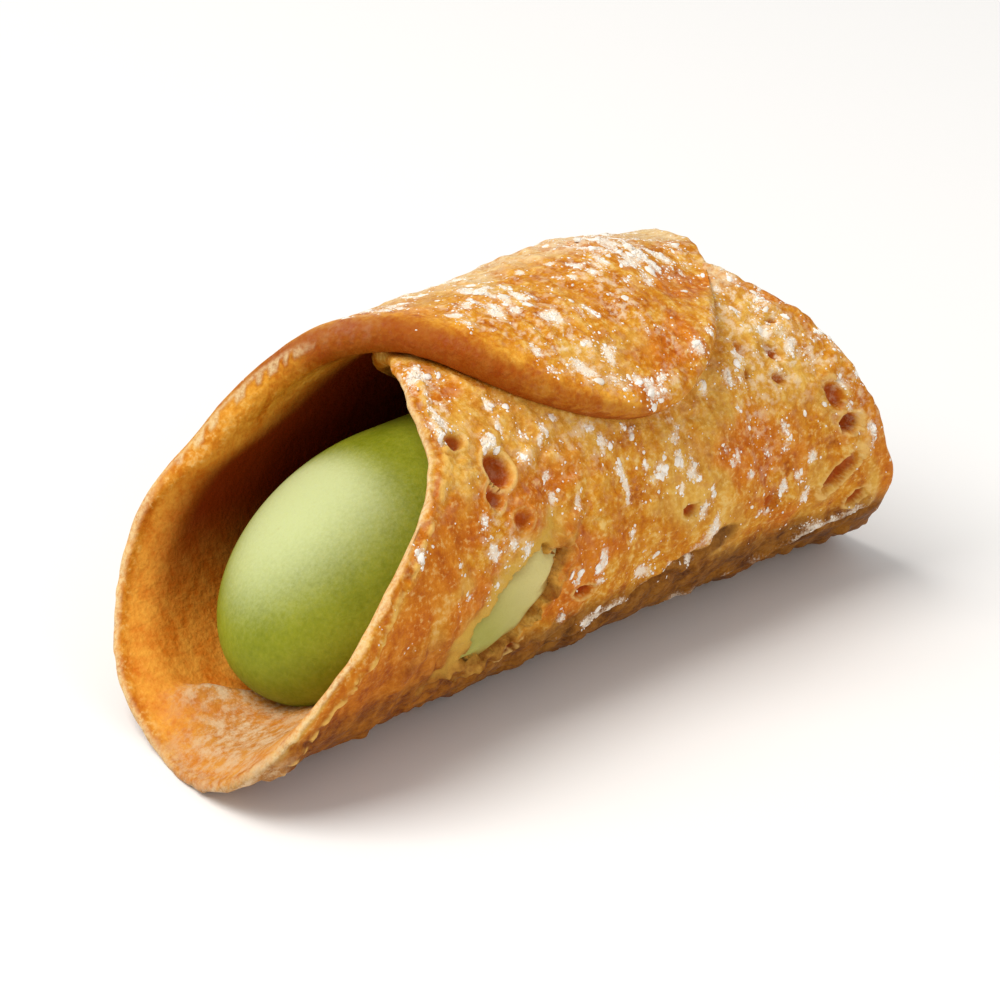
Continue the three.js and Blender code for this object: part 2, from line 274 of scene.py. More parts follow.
def layer(angle, x, near, far):
    """Middle radius and thickness of the dough: one layer, and past 285 degrees one on another."""
    opened = flare(angle, x, near, far)
    thin_reach = np.minimum(THIN_REACH, 0.5 + (far - near) * 0.4)
    thinned = 1 - np.clip(np.maximum(far - x, 0) / thin_reach, 0, 1)
    thin = 1 - OVERLAP_THIN * zone(300, 345, 372, 400, angle) * ease(0, 1, thinned)
    puffed = (WALL + (OVERLAP_WALL - WALL) * ease(PUFF_FROM, 338, angle)) * thin
    wall = np.where(angle < PUFF_FROM, single_wall(angle), puffed)
    under = np.maximum(angle - 360, WRAP_START)
    step = single_wall(under) + flare(under, x, *edges(under)) - OVERLAP_SINK
    return BORE + wall / 2 + opened + step * ease(285, 300, angle), wall


LATTICE, LATTICE_SHIFT = 256, (100.37, 100.73)


def speckle(across, along, size, seed):
    """Smooth random hills from -1 to 1: random heights on a lattice of that size, eased between."""
    draw = np.random.default_rng(seed).uniform(-1, 1, (LATTICE, LATTICE))
    u, v = across / size + LATTICE_SHIFT[0], along / size + LATTICE_SHIFT[1]
    i, j = np.floor(u).astype(int), np.floor(v).astype(int)
    p, q = ease(0, 1, u - i), ease(0, 1, v - j)
    i, j, k, m = i % LATTICE, j % LATTICE, (i + 1) % LATTICE, (j + 1) % LATTICE
    this_row = draw[i, j] * (1 - p) + draw[k, j] * p
    next_row = draw[i, m] * (1 - p) + draw[k, m] * p
    return this_row * (1 - q) + next_row * q


# Stations round the wrap are closer on the front and the tongue, where most shows, and wide apart
# on the hidden end. Rows across it are close at both edges, even between them.
STATION_STEPS = [
    (-75, 4.0),
    (-20, 2.4),
    (-5, 1.1),
    (125, 1.1),
    (150, 1.9),
    (300, 1.9),
    (340, 1.2),
    (405, 1.0),
    (412, 0.6),
]
STATIONS = 356
EDGE_STEP, ROW_STEP, ROW_GROWTH, EDGE_WIDE = 0.1, 0.42, 1.35, 5.0
EDGE_SHARE = 0.42  # of the dough's width, at most, that either edge's rows take up
MIDDLE_ROWS = 140


def spaced_angles():
    """Wrap angles whose spacing follows STATION_STEPS, by adding up the stations per degree."""
    fine = np.linspace(WRAP_START, WRAP_END, 4000)
    knots = np.array(STATION_STEPS, float)
    density = 1 / np.interp(fine, knots[:, 0], knots[:, 1])
    total = np.concatenate([[0], np.cumsum((density[1:] + density[:-1]) / 2)])
    return np.interp(np.linspace(0, total[-1], STATIONS), total, fine)


def edge_rows():
    """Distances in from an edge, starting close together and growing to the even step."""
    steps = [EDGE_STEP]
    while sum(steps) < EDGE_WIDE:
        steps.append(min(ROW_STEP, steps[-1] * ROW_GROWTH))
    return np.concatenate([[0], np.cumsum(steps)])


def rows_across(near, far):
    """X of every row at each station: the edge rows, the even rows between, and the edge rows."""
    inset = edge_rows()
    fit = np.minimum(1, (far - near) * EDGE_SHARE / inset[-1])[:, None]
    near_rows = near[:, None] + inset * fit
    far_rows = far[:, None] - inset[::-1] * fit
    first, last = near_rows[:, -1:], far_rows[:, :1]
    share = np.arange(1, MIDDLE_ROWS + 1)[None, :] / (MIDDLE_ROWS + 1)
    return np.hstack([near_rows, first + (last - first) * share, far_rows])


# Burst bubbles: wrap angle, X, length, width, depth, turn from +X towards growing wrap angle.
BUBBLES = [
    (49.5, -10.3, 3.6, 2.7, 1.4, 80),
    (57.5, -11.8, 2.4, 1.8, 0.8, 80),
    (36, -13.3, 2.4, 1.9, 0.9, 0),
    (67, -9.5, 2.6, 2.0, 0.6, 20),
    (87, 9.8, 1.9, 1.5, 0.8, 0),
    (47, 23, 2.6, 1.2, 0.7, 60),
    (42, 20, 2.2, 1.0, 0.5, 75),
    (56, 22.7, 2.0, 1.1, 0.6, 40),
    (38, 24.5, 1.7, 0.9, 0.5, 20),
    (51, 19.6, 1.6, 0.9, 0.45, 120),
    (67.5, 28, 3.4, 2.0, 0.8, 70),
    (78, 29.2, 2.4, 1.9, 1.3, 0),
    (94.5, 28.2, 5.0, 2.1, 1.25, -41),
    (107.5, 31, 2.6, 1.6, 1.1, -20),
    (98, 20.3, 2.4, 1.6, 0.5, 30),
    (102.5, -2.6, 2.8, 1.5, 1.0, 20),
    (116, -10.2, 2.6, 1.3, 0.9, -30),
]
TEAR = {"angle": 98.0, "x": -11.0, "length": 12.4, "width": 5.4, "turn": -39.0}
SILL_HIGH = 1.4  # where the foot of the near mouth curls up before the cream
SILL_CREST = [(150, -23.0), (179, -23.8), (189, -27.4), (205, -31.0)]  # wrap angle, X
TEAR_CUT = 0.7  # share of the tear, deep under the cream, that has no crust at all
TEAR_SINK = 0.9  # how far below the bore the crust ends there
BLISTERS, BLISTER_SEED = 260, 31
BEAD_HIGH, RING_HIGH, SKIN_DROP = 0.42, 0.24, 0.28
SKIN_RADIUS = TUBE_RADIUS + WALL / 2


def patch(angle, x, at_angle, at_x, turn):
    """Distances in millimetres from a spot on the unrolled skin, along and across its own line."""
    c, s = math.cos(math.radians(turn)), math.sin(math.radians(turn))
    arc = np.radians(angle - at_angle) * SKIN_RADIUS
    return (x - at_x) * c + arc * s, arc * c - (x - at_x) * s


def tear_reach(angle, x):
    """Distance from the middle of the tear as a share of its ragged outline, which is at 1."""
    along, across = patch(angle, x, TEAR["angle"], TEAR["x"], TEAR["turn"])
    u, v = along / (TEAR["length"] / 2), across / (TEAR["width"] / 2)
    t = np.arctan2(v, u)
    ragged = 1 + 0.16 * np.sin(3 * t + 0.6) * np.cos(5 * t)
    return np.hypot(u, v) / ragged


def covered(angle, x):
    """1 where the dough lies hidden under the overlap, 0 where it shows."""
    near, far = edges(np.clip(angle + 360, 285, WRAP_END))
    beneath = zone(near - 0.2, near + 0.6, far - 0.6, far + 0.2, x)
    return np.where(angle + 360 < WRAP_END, beneath, 0.0)


# Creases where the tube bends under, as [wrap angle, X] along each; sugar collects in them.
CREASES = [
    [(98, 13), (104, 11), (106, 8), (110.5, 5.5), (115, 3.3), (122, -2), (128, -8)],
    [(114, 33), (116, 30), (117.5, 27.5), (130, 22), (136, 12)],
]


def crease_reach(angle, x, points):
    """Distance in millimetres from a line of straight lengths on the unrolled skin, and its side.

    The side is the wrap distance past the nearest point of the line, so it grows towards the foot.
    """
    arc = np.radians(angle) * SKIN_RADIUS
    line = np.array([(math.radians(a) * SKIN_RADIUS, at_x) for a, at_x in points])
    reach, past = np.full_like(arc, 1e3), np.zeros_like(arc)
    for start, end in zip(line[:-1], line[1:]):
        step = end - start
        share = np.clip(((arc - start[0]) * step[0] + (x - start[1]) * step[1]) / (step @ step), 0, 1)
        off_arc, off_x = arc - start[0] - share * step[0], x - start[1] - share * step[1]
        there = np.hypot(off_arc, off_x)
        past = np.where(there < reach, off_arc, past)
        reach = np.minimum(there, reach)
    return reach, past


def skin_relief(angle, x, near, far):
    """Height of the fried skin over the smooth dough, in parts that the colour also follows.

    Low waves, ripples that run along the wrap, pillows (the size of random hills, so that they
    meet in creases), a string of beads along the near edge with a smooth band between it and the
    rim, a ridge along the far edge, the bowls of burst bubbles with the rings round them, and the
    creases. The lip, the strip behind the beads and the rear rim are calm.
    """
    arc = np.radians(angle) * SKIN_RADIUS
    waves = speckle(arc, x, 6.5, 11) * 0.20 + speckle(arc, x, 3.4, 12) * 0.12
    front = zone(30, 60, 130, 160, angle)
    ripples = speckle(arc * 0.28, x, 1.5, 19) * (0.08 + 0.14 * front)
    pillows = np.abs(speckle(arc, x, 1.7, 13) * 0.7 + speckle(arc, x, 0.95, 14) * 0.5)
    from_near = x - near + 0.9 * speckle(arc, x, 2.6, 28) + 0.4 * speckle(arc, x, 1.0, 29)
    lip = ease(290, 325, angle) * (1 - ease(1.8, 6.2, from_near))
    strip = zone(48, 64, 112, 128, angle)
    strip = strip * ease(2.4, 3.4, x - near) * (1 - ease(7.0, 11.0, x - near))
    rear_rim = ease(150, 190, angle) * (1 - ease(0.6, 4.0, x - near))
    patchy = ease(-0.5, 0.35, speckle(arc, x, 6.0, 15) + 0.4 * speckle(arc, x, 2.6, 16))
    rough = (0.3 + 0.7 * patchy) * (1 - 0.25 * lip) * (1 - 0.75 * strip) * (1 - 0.8 * rear_rim)
    rim = zone(-10, 10, 122, 140, angle)
    bead_line = 1.5 + 1.3 * ease(60, 125, angle) + 0.3 * speckle(arc, x, 2.4, 20)
    beads = rim * hump(x - near, bead_line, 0.55) * ease(-0.5, 0.25, speckle(arc, x, 0.55, 17))
    rim_band = rim * ease(0.3, 0.8, x - near) * (1 - ease(bead_line - 0.5, bead_line, x - near))
    from_far = far - x + 0.5 * speckle(arc, x, 2.3, 27)
    far_ridge = zone(0, 20, 112, 126, angle) * hump(from_far, 2.9, 0.55)
    far_ridge = far_ridge * ease(-0.6, 0.5, speckle(arc, x, 2.6, 30))
    bowls, rings = np.zeros_like(angle), np.zeros_like(angle)
    for at_angle, at_x, length, width, depth, turn in BUBBLES:
        along, across = patch(angle, x, at_angle, at_x, turn)
        wander = 1 + 0.12 * speckle(along + at_angle, across, 1.3, 18)
        reach = np.hypot(along / (length / 2), across / (width / 2)) / wander
        bowls = np.maximum(bowls, depth * ease(1.1, 0.36, reach))
        rings = np.maximum(rings, hump(reach, 1.16, 0.17) * min(depth, 0.9))
    folds, powdered, below = np.zeros_like(angle), np.zeros_like(angle), np.zeros_like(angle)
    for points in CREASES:
        reach, past = crease_reach(angle, x + 0.5 * speckle(arc, x, 2.0, 26), points)
        folds += 0.35 * hump(reach, 0, 0.6)
        folds -= 0.45 * hump(past, 1.2, 0.7) * ease(3, 1.2, reach)
        powdered = np.maximum(powdered, hump(reach, 0, 0.75))
        below = np.maximum(below, ease(0.1, 0.9, past) * (1 - ease(2.0, 5.0, reach)))
    return {
        "waves": (waves + ripples) * (1 - 0.7 * rear_rim) + folds + 0.22 * far_ridge,
        "pillows": pillows * rough,
        "beads": beads,
        "rim_band": rim_band,
        "bowls": bowls,
        "rings": rings,
        "lip": lip,
        "strip": strip,
        "calm": np.maximum(0.3 * lip, np.maximum(strip, rear_rim)),
        "powdered": powdered,
        "below": below,
        "far_ridge": far_ridge,
    }


def blisters(angle, x, count, seed):
    """Raised bubbles scattered over the dough: each a low dome, the highest one counting."""
    draw = np.random.default_rng(seed)
    height = np.zeros_like(angle)
    for _ in range(count):
        at_angle, at_x = draw.uniform(-10, 400), draw.uniform(-36, 37)
        length, width = draw.uniform(1.6, 4.2), draw.uniform(0.7, 1.0)
        turn, rise = draw.uniform(0, 180), draw.uniform(0.18, 0.42)
        along, across = patch(angle, x, at_angle, at_x, turn)
        reach = np.hypot(along / (length / 2), across / (length * width / 2))
        height = np.maximum(height, rise * np.sqrt(np.clip(1 - reach**2, 0, 1)))
    return height


def skin(angle, x, near, far, side, relief):
    """Radius of the outer (1) or inner (-1) skin: half the wall out, rounded off at every edge.

    Towards the near mouth the inner skin runs outwards, so that the rolled dough ends thin.
    """
    radius, wall = layer(angle, x, near, far)
    thinned = RIM_THIN * wall * (1 - ease(0, RIM_THIN_REACH, x - near))
    thinned = thinned * ease(-40, -5, angle) * (1 - ease(270, 300, angle))
    radius, wall = radius + thinned / 2, wall - thinned
    to_end = np.radians(np.minimum(angle - WRAP_START, WRAP_END - angle)) * TUBE_RADIUS
    to_edge = np.minimum(np.minimum(x - near, far - x), to_end)
    depth = np.clip(to_edge / (wall * 0.45), 0, 1)
    rounded = np.sqrt(np.clip(1 - (1 - depth) ** 2, 0, 1))
    return radius + side * (wall / 2 * rounded + relief * ease(0, 0.4, depth))


def on_tube(angle, x, radius):
    """Points in millimetres from wrap angle, X and radius, pressed flat on the table."""
    t = np.radians(angle)
    return np.stack([x, -radius * np.sin(t), np.maximum(AXIS_HEIGHT + radius * np.cos(t), 0)], -1)


wrap = spaced_angles()
near_edge, far_edge = edges(wrap)
unsteady = zone(WRAP_START, -20, WRAP_END - 12, WRAP_END, wrap)
arc_length = np.radians(wrap) * SKIN_RADIUS


def wobble(size, seed):
    """Smooth random hills along the wrap, by which an edge strays."""
    return speckle(arc_length, 0 * wrap, size, seed)


near_edge = near_edge + unsteady * (0.22 * wobble(3.1, 21) + 0.12 * wobble(1.0, 22))
far_edge = far_edge + unsteady * (0.25 * wobble(3.7, 23) + 0.14 * wobble(1.2, 24))
outer_x = rows_across(near_edge, far_edge)

# The inner skin keeps every row as far as the tear and at the far edge, and few between them.
FINE_SHARE, ROWS_APART = 0.4, 6
row_number = np.arange(outer_x.shape[1])
middle_share = (row_number - len(edge_rows()) + 1) / (MIDDLE_ROWS + 1)
kept_row = (middle_share < FINE_SHARE) | (middle_share >= 1) | (row_number % ROWS_APART == 0)
inner_rows = row_number[kept_row]
inner_x = outer_x[:, inner_rows]

outer_angle = np.repeat(wrap[:, None], outer_x.shape[1], axis=1)
inner_angle = np.repeat(wrap[:, None], inner_x.shape[1], axis=1)
near_column, far_column = near_edge[:, None], far_edge[:, None]
parts = skin_relief(outer_angle, outer_x, near_column, far_column)
on_overlap = ease(300, 325, outer_angle)
domes = blisters(outer_angle, outer_x, BLISTERS, BLISTER_SEED)
domes = domes * (1 - 0.85 * parts["calm"]) * (1 - 0.45 * on_overlap)
hidden = covered(outer_angle, outer_x)
relief = parts["waves"] + (0.55 - 0.2 * on_overlap) * parts["pillows"] + BEAD_HIGH * parts["beads"]
relief = relief + domes - SKIN_DROP
relief = relief * (1 - hidden) + RING_HIGH * parts["rings"] - parts["bowls"]

# The tear's upper edge is worn down gently, and its lower edge broken sharp, with crumbs along it.
outer_reach = tear_reach(outer_angle, outer_x)
torn_arc = outer_angle * 0.25
torn = speckle(torn_arc, outer_x, 0.8, 41) * 0.12 + speckle(torn_arc, outer_x, 0.42, 42) * 0.07
_, across_tear = patch(outer_angle, outer_x, TEAR["angle"], TEAR["x"], TEAR["turn"])
gentle = ease(1.0, -2.2, across_tear)
ragged_reach = outer_reach + torn * (2.2 - 1.2 * gentle)
thin_to = 1.12 + 0.9 * gentle
worn = 0.5 * gentle * (1 - ease(1.0, thin_to, ragged_reach))
crumbs = hump(ragged_reach, 1.16, 0.13) * (1 - gentle)
crumbs = crumbs * (0.35 + 0.7 * speckle(torn_arc, outer_x, 0.7, 43))
relief = relief * ease(1.0, 1.6, ragged_reach) + crumbs
outer_radius = skin(outer_angle, outer_x, near_column, far_column, 1, relief)

# Inside, the skin is nearly smooth, and curls up in a sill at the foot of the near mouth.
inner_arc = np.radians(inner_angle) * BORE
inner_waves = 0.12 * speckle(inner_arc, inner_x, 4.2, 51)
sill_x = np.interp(inner_angle, *np.array(SILL_CREST).T)
sill_x = sill_x + 0.3 * speckle(inner_arc, inner_x, 2.1, 52)
sill = zone(near_column + 1.5, sill_x - 0.6, sill_x, sill_x + 0.7, inner_x)
sill = sill * ease(120, 150, inner_angle) * (1 - ease(198, 210, inner_angle))
inner_waves = inner_waves + SILL_HIGH * sill
inner_radius = skin(inner_angle, inner_x, near_column, far_column, -1, inner_waves)

# In the tear the outer skin drops to the bore, and both skins then sink below the cream.
full_wall = outer_radius - np.minimum(BORE, outer_radius)
dropped = (full_wall - worn) * ease(1.0, 0.93, ragged_reach)
outer_radius = outer_radius - worn - dropped - TEAR_SINK * ease(1.0, 0.72, ragged_reach)
inner_radius = inner_radius - TEAR_SINK * ease(1.0, 0.72, tear_reach(inner_angle, inner_x))

outer_points = on_tube(outer_angle, outer_x, outer_radius)
inner_points = on_tube(inner_angle, inner_x, inner_radius)

# The skins share their first and last rows. Where the tear is cut, the two skins are joined.
stations, rows = outer_x.shape
outer_ids = np.arange(stations * rows).reshape(stations, rows)
inner_ids = stations * rows + np.arange(inner_x.size).reshape(inner_x.shape)
inner_ids[:, 0] = outer_ids[:, 0]
inner_ids[:, -1] = outer_ids[:, -1]


def both_rows(outer_values, inner_values):
    """The outer and then the inner skin's rows of three numbers."""
    return np.concatenate([outer_values.reshape(-1, 3), inner_values.reshape(-1, 3)])


def grid_faces(ids, keep):
    """The four-cornered faces between neighbouring points of a grid, where keep is true."""
    faces = np.stack([ids[:-1, :-1], ids[1:, :-1], ids[1:, 1:], ids[:-1, 1:]], -1)
    return faces[keep]


def cell_cut(reach_there):
    """True for grid cells that lie wholly inside the cut part of the tear."""
    inside = reach_there < TEAR_CUT
    return inside[:-1, :-1] & inside[1:, :-1] & inside[1:, 1:] & inside[:-1, 1:]


outer_cut = cell_cut(outer_reach)
inner_cut = cell_cut(outer_reach[:, inner_rows])
place_of = np.searchsorted(inner_rows, row_number)
beneath_ids = inner_ids[:, np.clip(place_of, 0, len(inner_rows) - 1)]


def cut_walls(change, down, along):
    """Faces that join the skins where the cut starts or stops between two neighbouring cells.

    change is 1 or -1 there and says which way the face looks. It runs from the point that lies
    that far down and along from the cell's first one to the cell's last point.
    """
    i, j = np.nonzero(change)
    start, end = (i + down, j + along), (i + 1, j + 1)
    quad = np.stack([outer_ids[start], outer_ids[end], beneath_ids[end], beneath_ids[start]], -1)
    return np.where(change[i, j][:, None] > 0, quad, quad[:, ::-1])


cut = outer_cut.astype(int)
crust_faces = np.concatenate(
    [
        grid_faces(outer_ids, ~outer_cut),
        grid_faces(inner_ids, ~inner_cut)[:, ::-1],
        cut_walls(cut[:-1, :] - cut[1:, :], 1, 0),
        cut_walls(cut[:, 1:] - cut[:, :-1], 0, 1),
    ]
)
crust_points = both_rows(outer_points, inner_points)

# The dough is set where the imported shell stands, by the middle of its plain outer skin.
plain_near, plain_far = (edge[:, None] for edge in edges(wrap))
plain_x = rows_across(plain_near[:, 0], plain_far[:, 0])
plain = on_tube(outer_angle, plain_x, skin(outer_angle, plain_x, plain_near, plain_far, 1, 0))
shell_low, shell_high = (np.array(corner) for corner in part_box("shell"))
seat = (shell_low + shell_high) / 2 / MM - (plain.min((0, 1)) + plain.max((0, 1))) / 2
seat[2] = 0

depth_in = np.minimum(outer_x - near_column, far_column - outer_x)
inner_depth_in = np.minimum(inner_x - near_column, far_column - inner_x)
to_light = np.cos(np.radians(outer_angle))


def both(outer_values, inner_values):
    """One mark for the whole crust, from its values on the outer and the inner skin."""
    shape_of = np.broadcast_to(inner_values, inner_x.shape)
    return np.concatenate([np.broadcast_to(outer_values, outer_x.shape).ravel(), shape_of.ravel()])


def hills(size, seed, stretch=1.0):
    """Smooth random hills on the outer skin, drawn out along the wrap where the stretch is low."""
    return speckle(arc_wide * stretch, outer_x, size, seed)


arc_wide = np.radians(outer_angle) * SKIN_RADIUS
front_rim = zone(-10, 10, 130, 160, outer_angle)
rear_rim = zone(150, 190, 320, 345, outer_angle)
inner_front_rim = zone(-10, 10, 130, 160, inner_angle)
inner_rear_rim = ease(150, 190, inner_angle) * (1 - 0.9 * ease(268, 300, inner_angle))
inner_lip = ease(290, 325, inner_angle) * (1 - ease(1.8, 5.5, inner_x - near_column))
inner_roof = ease(222, 272, inner_angle) + 1 - ease(15, 60, inner_angle)
inner_foot = zone(108, 128, 172, 206, inner_angle) * (1 - ease(7.5, 10.5, inner_x - near_column))
inner_foot = np.maximum(inner_foot * (0.55 + 0.45 * ease(0, 6, inner_x - near_column)), sill)
foot = zone(118, 130, 200, 225, outer_angle) * (1 - ease(1.0, 4.0, outer_x - near_column))

# Sugar falls from above. It lies as a thin veil on what faces up, and thicker in drifts, whose
# wrap angle, X, reach along the wrap and across it in millimetres and amount are given here.
DRIFTS = [
    (358.5, -1.5, 2.2, 2.2, 1.0),
    (371, 2.0, 4.0, 1.4, 0.6),
    (386, 4.5, 3.6, 1.0, 1.4),
    (393.5, 1.0, 1.8, 1.2, 1.3),
    (405.5, 2.3, 1.0, 1.8, 1.4),
    (388, -2.5, 1.2, 0.8, 0.6),
    (407, 7.5, 1.0, 1.2, 0.8),
    (398, 12.2, 1.4, 1.0, 0.6),
    (356, 17.0, 4.0, 4.5, 1.2),
    (366, 13.5, 2.5, 2.0, 0.5),
    (8.5, -11.3, 1.2, 2.6, 1.5),
    (29.5, -14.6, 1.0, 1.4, 0.9),
    (30.5, -7.0, 1.0, 1.3, 0.9),
    (44.5, -4.8, 0.9, 0.8, 1.0),
    (38, -1.0, 1.0, 1.4, 0.6),
    (71.5, 2.9, 2.6, 0.8, 1.5),
    (70, 6.0, 1.6, 0.8, 0.9),
    (71, 10.5, 1.6, 0.9, 0.7),
    (58.5, 15.7, 1.2, 0.8, 0.7),
    (50, 18.2, 1.2, 1.8, 0.9),
    (66.5, -6.0, 1.6, 0.8, 0.7),
    (78, -9.0, 0.9, 0.9, 1.2),
    (84, -4.3, 0.9, 0.9, 0.7),
    (45, 22.5, 0.8, 0.8, 0.9),
    (52, 26.7, 0.9, 0.8, 0.6),
    (27, 24.8, 4.0, 3.0, 0.8),
    (115.5, 28.0, 0.8, 3.0, 0.9),
    (100.5, 5.0, 1.2, 0.8, 0.5),
    (118, 2.0, 0.8, 4.0, 0.6),
    (108, 8.0, 0.8, 3.0, 0.6),
]
DRIFT_SHARE = 0.4
CLUMPS = 340
CLUMP_LONG, CLUMP_WIDE, CLUMP_AMOUNT = (0.3, 0.9), (0.25, 0.5), (0.45, 1.2)
CLUMP_LEAN = 24.0  # degrees by which a clump may lean away from the line of the wrap

drifted = np.zeros_like(outer_x)
for at_angle, at_x, wrapwise, crosswise, amount in DRIFTS:
    far_along = np.radians(outer_angle - at_angle) * SKIN_RADIUS / wrapwise
    drifted += amount * np.exp(-(far_along**2) - ((outer_x - at_x) / crosswise) ** 2)
along_wrap = np.gradient(outer_points, axis=0)
across_wrap = np.gradient(outer_points, axis=1)
cell_area = np.linalg.norm(np.cross(along_wrap, across_wrap), axis=-1)
shows = (hidden < 0.02) & (outer_angle > -6) & (depth_in > 0.25) & (outer_reach > 1.25)
shows &= (parts["bowls"] < 0.15) & (outer_points[..., 2] > 2.5)
facing_up = ease(-0.25, 0.75, to_light)
uneven = ease(-0.2, 0.7, hills(4.4, 81, 0.6) + 0.6 * hills(1.8, 82, 0.6))
bare = np.maximum(parts["strip"], parts["lip"] * (1 - ease(1.6, 4.4, depth_in)))
bare = np.maximum(bare, ease(80, 96, outer_angle) * (1 - ease(-16, -10, outer_x)))
clean = 1 - 0.92 * bare
veil_mark = facing_up * (0.2 + 0.8 * uneven) * (1 - hidden) * clean
settled = (0.3 + 0.7 * uneven) * ease(-0.55, 0.35, to_light)
settled = settled * (1 - 0.4 * ease(330, 350, outer_angle)) * clean
drift_edge = outer_angle + 9 * hills(4.5, 87) + 4 * hills(1.6, 88)
crest = zone(300, 320, 338, 358, drift_edge) * (0.1 + 0.9 * ease(-9, -3, outer_x))
crest = crest * ease(-17, -12, outer_x) * (1 - hidden)
far_crest = zone(-12, 4, 14, 24, outer_angle) * ease(14, 18, outer_x) * (1 - hidden)
crease_dust = parts["powdered"] * ease(-0.4, 0.6, hills(1.3, 84))
lies = np.where(shows, cell_area * (settled * (1 - DRIFT_SHARE) + drifted * clean * DRIFT_SHARE), 0)


def clumped(weight, count, seed):
    """How thick the clumped sugar lies: hills long along the wrap, at places drawn by weight."""
    draw = np.random.default_rng(seed)
    spots = draw.choice(weight.size, count, p=weight.ravel() / weight.sum())
    thick = np.zeros_like(weight)
    for spot in spots:
        turn = 90 + draw.uniform(-CLUMP_LEAN, CLUMP_LEAN)
        at_angle, at_x = outer_angle.flat[spot], outer_x.flat[spot]
        along, across = patch(outer_angle, outer_x, at_angle, at_x, turn)
        long, wide, amount = (draw.uniform(*span) for span in (CLUMP_LONG, CLUMP_WIDE, CLUMP_AMOUNT))
        thick += amount * np.exp(-((along / long) ** 2) - (across / wide) ** 2)
    return thick


heaped = drifted * ease(0.0, 0.5, hills(0.8, 86, 0.6))
clumps = (clumped(lies, CLUMPS, 85) + 0.55 * heaped * clean) * shows
powder = np.clip(clumps + 0.55 * crease_dust, 0, 1)
streaks = np.stack([arc_wide * 0.3, outer_x, 0 * outer_x], -1)
inner_streaks = np.stack([np.radians(inner_angle) * BORE * 0.3, inner_x, 0 * inner_x + 9], -1)
blush = ease(0.1, 0.6, hills(5.2, 71) + 0.5 * hills(2.1, 72))
gold = ease(0.15, 0.7, hills(6.1, 73) + 0.6 * hills(1.9, 74))
upper_front = zone(18, 30, 44, 60, outer_angle) * (1 - ease(14, 20, outer_x))
# The underside, where the tube turns down to the table, is painted dark: partly its browner fried
# colour, partly painted shade.
shade = zone(101, 120, 225, 260, outer_angle) * (0.65 + 0.35 * ease(-20, -4, outer_x))
near_amber = ease(84, 106, outer_angle) * (1 - ease(-17, -9, outer_x)) * ease(0.8, 2.4, depth_in)
far_rim = zone(0, 20, 150, 190, outer_angle) * (1 - ease(1.6, 2.8, far_column - outer_x))
crumbly = zone(14, 24, 56, 70, outer_angle) * ease(16, 19, outer_x)
crumbly = crumbly * (1 - ease(1.5, 4.0, np.abs(outer_x - 22.5)) * 0.6) * (1 - far_rim)
redder_rim = ease(45, 75, outer_angle)
blush = blush + 0.8 * parts["strip"] + 0.7 * parts["rim_band"] + 0.7 * far_rim * redder_rim
blush = np.clip(blush - upper_front - crumbly, 0, 1)
gold = gold - parts["strip"] - parts["rim_band"] - far_rim * redder_rim
gold = np.clip(gold + 0.8 * upper_front + crumbly, 0, 1)
shade_delay = 3.0 * ease(285, 305, inner_angle)  # the painted shade starts further in under the lip
# Painted shade: inside the mouth the crust is painted darker further in and most under its roof, less
# on the sill.
painted_deep_shade = ease(0.6 + 0.8 * shade_delay, 6.2 + shade_delay, inner_depth_in)
painted_deep_shade = painted_deep_shade * (0.22 + 0.78 * np.clip(inner_roof, 0, 1)) * (1 - 0.6 * sill)
# Painted shade on the underside of the lip's roll, and inside beneath it.
painted_lip_shade = parts["lip"] * (1 - ease(0.4, 2.4, depth_in)) * (1 - 0.45 * ease(380, 400, outer_angle))
pitted = np.clip(parts["bowls"] / 0.8, 0, 1)
rear_rim_wide = 0.6 - 0.25 * ease(268, 300, outer_angle)
crust_marks = {
    "height": both(np.clip(0.35 + 1.1 * (0.55 * parts["pillows"] + domes), 0, 1), 0.5),
    # deep: painted shade inside the mouth, darker further in and under the roof
    "inside": both(0.0, ease(0.3, 1.6, inner_depth_in) * (1 - inner_lip)),
    "deep": both(0.0, painted_deep_shade),
    "rim": both(
        np.exp(-depth_in / 0.42) * front_rim + np.exp(-depth_in / rear_rim_wide) * rear_rim,
        np.exp(-inner_depth_in / 0.4) * inner_front_rim
        + np.exp(-inner_depth_in / 0.5) * inner_rear_rim,
    ),
    "bead": both(parts["beads"], 0.0),
    "blush": both(blush, 0.5),
    "gold": both(gold, 0.0),
    "veil": both(np.clip(veil_mark + 0.8 * crumbly * facing_up, 0, 1.4), 0.0),
    "foot": both(foot, inner_foot),
    "haze": both(np.maximum(crest, far_crest), 0.0),
    "powder": both(powder - 0.4 * np.maximum(bare, pitted), -0.4),
    # pit: painted shade in the bowls of the burst bubbles
    "pit_shade": both(pitted, 0.0),
    # ring: painted highlight on the raised rings round the bubbles and on the far ridge
    "ring": both(np.clip(parts["rings"] + 0.5 * parts["far_ridge"], 0, 1), 0.0),
    "lip": both(parts["lip"], inner_lip),
    "lip_underside_shade": both(painted_lip_shade, inner_lip * ease(318, 335, inner_angle)),
    "torn": both(ease(2.1, 1.0, ragged_reach) * gentle, 0.0),
    "broken": both(ease(1.45, 1.1, ragged_reach) * (1 - gentle), 0.0),
    # under: the underside and the band below each crease, painted dark; partly browner crust, partly
    # painted shade
    "under": both(np.maximum(shade, parts["below"]), 0.0),
    "amber": both(near_amber * (1 - ease(150, 180, outer_angle)), 0.0),
}


COLOUR_A, COLOUR_B, COLOUR_OUT = 6, 7, 2  # the mix step's sockets for colours


